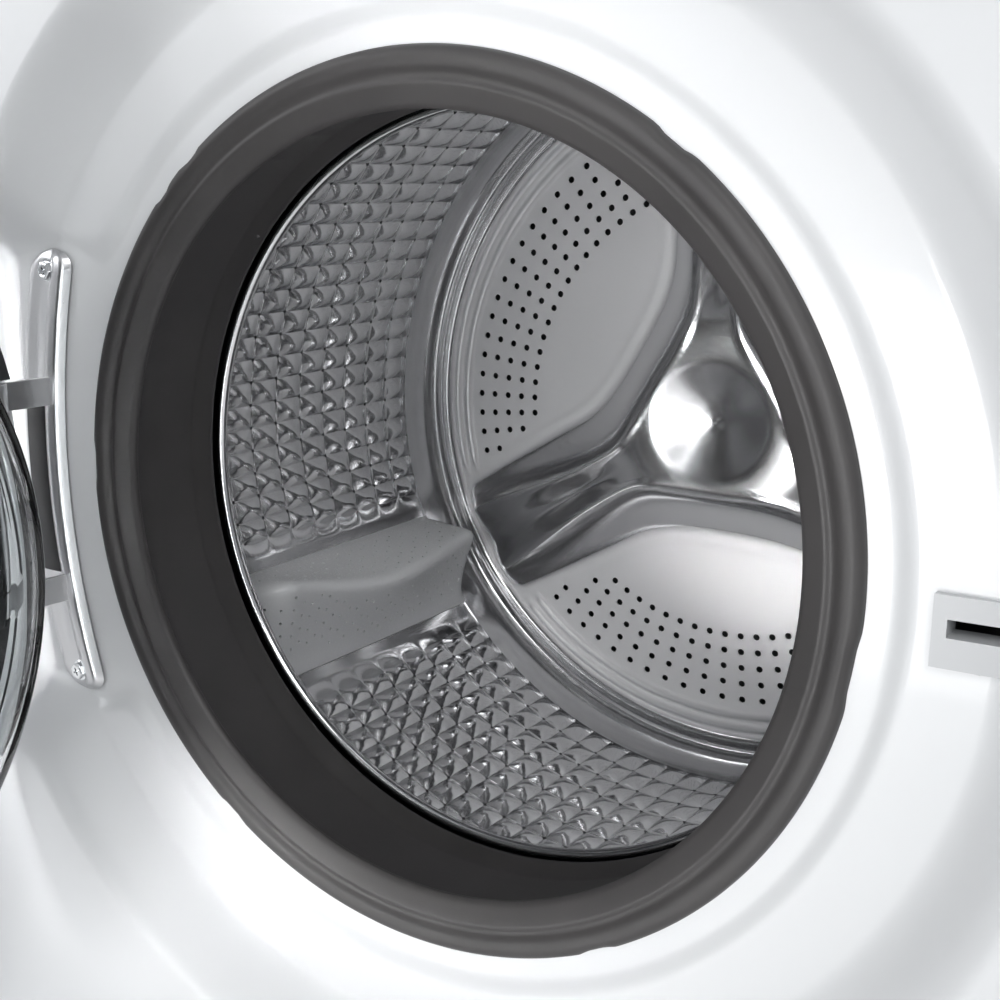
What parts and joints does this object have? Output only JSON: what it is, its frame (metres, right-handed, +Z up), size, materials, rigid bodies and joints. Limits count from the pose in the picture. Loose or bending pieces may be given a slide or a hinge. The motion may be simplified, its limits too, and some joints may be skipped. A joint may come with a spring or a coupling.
{
  "type": "front load washing machine",
  "caption": "Front load washing machine with open glass door, embossed steel drum on a hanging tub, belt drive, detergent drawer, knob, button and screw feet.",
  "frame": {"origin": "on the floor under the middle of the cabinet", "axes": "+X to the right seen from the front, +Y to the back along the drum axis, +Z up"},
  "size_m": [0.595, 1.0899, 0.85],
  "materials": {
    "painted_steel": "gloss white",
    "galvanised_steel": "satin",
    "stainless_steel": "polished",
    "chrome": "polished",
    "cast_aluminium": "as cast",
    "rubber": "satin",
    "grey_plastic": "satin",
    "white_plastic": "satin",
    "black_plastic": "satin",
    "glass": "clear",
    "dark_window": "gloss",
    "concrete": "rough",
    "laminate": "satin white laminate",
    "green_board": "satin"
  },
  "bodies": {
    "cabinet": {"front_panel": "painted_steel", "left_side_panel": "painted_steel", "right_side_panel": "painted_steel", "rear_panel": "galvanised_steel", "top_panel": "laminate", "base_frame": "galvanised_steel", "side_rails": "galvanised_steel", "control_panel": "white_plastic", "display_window": "dark_window", "control_board": "green_board", "plinth": "white_plastic", "hinge_bracket": "stainless_steel", "hinge_screws": "chrome", "lock_bezel": "white_plastic", "door_lock": "black_plastic", "gasket": "rubber", "drain_pump": "grey_plastic", "sump_hose": "rubber", "drain_hose": "grey_plastic", "dispenser_housing": "white_plastic", "dispenser_hose": "rubber", "inlet_valve": "white_plastic", "mains_filter": "black_plastic", "suspension_springs": "galvanised_steel", "damper_cylinders": "grey_plastic"},
    "tub": {"tub_front": "grey_plastic", "tub_rear": "grey_plastic", "front_counterweight": "concrete", "top_counterweight": "concrete", "heater": "chrome", "drum_bearings": "stainless_steel", "motor_housing": "galvanised_steel", "damper_rods": "galvanised_steel", "drive_belt": "rubber"},
    "drum": {"drum_shell": "stainless_steel", "drum_front": "stainless_steel", "drum_back": "stainless_steel", "lifter_1": "grey_plastic", "lifter_2": "grey_plastic", "lifter_3": "grey_plastic", "spider": "cast_aluminium", "drum_shaft": "stainless_steel", "drum_pulley": "cast_aluminium"},
    "motor": {"motor_rotor": "galvanised_steel"},
    "door": {"door_glass": "glass", "door_inner_frame": "black_plastic", "door_outer_ring": "white_plastic", "door_window_cover": "dark_window", "door_hinge_barrel": "stainless_steel"},
    "door_hook": {"door_hook": "stainless_steel"},
    "drawer": {"detergent_drawer": "white_plastic", "drawer_front": "white_plastic"},
    "programme_knob": {"programme_knob": "white_plastic"},
    "start_button": {"start_button": "white_plastic"},
    "filter_flap": {"filter_flap": "white_plastic"},
    "pump_filter": {"pump_filter": "grey_plastic"},
    "foot_front_left": {"foot_front_left": "black_plastic"},
    "foot_front_right": {"foot_front_right": "black_plastic"},
    "foot_rear_left": {"foot_rear_left": "black_plastic"},
    "foot_rear_right": {"foot_rear_right": "black_plastic"}
  },
  "joints": [
    {"name": "door_hinge", "type": "hinge", "parent": "cabinet", "child": "door", "pos_m": [-0.23, -0.294, 0.425], "axis": [0, 0, 1], "range_deg": [-19, 86]},
    {"name": "door_hook_pivot", "type": "hinge", "parent": "door", "child": "door_hook", "pos_m": [-0.19977, -0.75501, 0.42125], "axis": [0, 0, 1], "range_deg": [0, 4], "stiffness_Nm_per_rad": 0.5, "springref_deg": -5.73},
    {"name": "tub_float", "type": "slide", "parent": "cabinet", "child": "tub", "axis": [0, 0, 1], "range_m": [-0.008, 0.008], "stiffness_N_per_m": 30000, "springref_m": 0.01749, "deforming": ["gasket", "suspension_springs", "sump_hose", "dispenser_hose"]},
    {"name": "drum_spin", "type": "hinge", "parent": "tub", "child": "drum", "pos_m": [0, 0.16, 0.425], "axis": [0, 1, 0], "continuous": true},
    {"name": "motor_spin", "type": "hinge", "parent": "tub", "child": "motor", "pos_m": [-0.06, 0.1, 0.097], "axis": [0, 1, 0], "continuous": true},
    {"name": "drawer_slide", "type": "slide", "parent": "cabinet", "child": "drawer", "axis": [0, -1, 0], "range_m": [0, 0.23]},
    {"name": "knob_turn", "type": "hinge", "parent": "cabinet", "child": "programme_knob", "pos_m": [-0.04, -0.3, 0.771], "axis": [0, 1, 0], "continuous": true},
    {"name": "start_press", "type": "slide", "parent": "cabinet", "child": "start_button", "axis": [0, 1, 0], "range_m": [0, 0.0015], "stiffness_N_per_m": 800},
    {"name": "flap_hinge", "type": "hinge", "parent": "cabinet", "child": "filter_flap", "pos_m": [0.205, -0.282, 0.0305], "axis": [1, 0, 0], "range_deg": [0, 80]},
    {"name": "filter_turn", "type": "hinge", "parent": "cabinet", "child": "pump_filter", "pos_m": [0.205, -0.26, 0.06], "axis": [0, 1, 0], "range_deg": [0, 90]},
    {"name": "foot_front_left_screw", "type": "hinge", "parent": "cabinet", "child": "foot_front_left", "pos_m": [-0.255, -0.24, 0.02], "axis": [0, 0, 1], "continuous": true},
    {"name": "foot_front_right_screw", "type": "hinge", "parent": "cabinet", "child": "foot_front_right", "pos_m": [0.255, -0.24, 0.02], "axis": [0, 0, 1], "continuous": true},
    {"name": "foot_rear_left_screw", "type": "hinge", "parent": "cabinet", "child": "foot_rear_left", "pos_m": [-0.255, 0.24, 0.02], "axis": [0, 0, 1], "continuous": true},
    {"name": "foot_rear_right_screw", "type": "hinge", "parent": "cabinet", "child": "foot_rear_right", "pos_m": [0.255, 0.24, 0.02], "axis": [0, 0, 1], "continuous": true}
  ],
  "couplings": [
    {"joint": "motor_spin", "follows": "drum_spin", "ratio": 12.5}
  ]
}
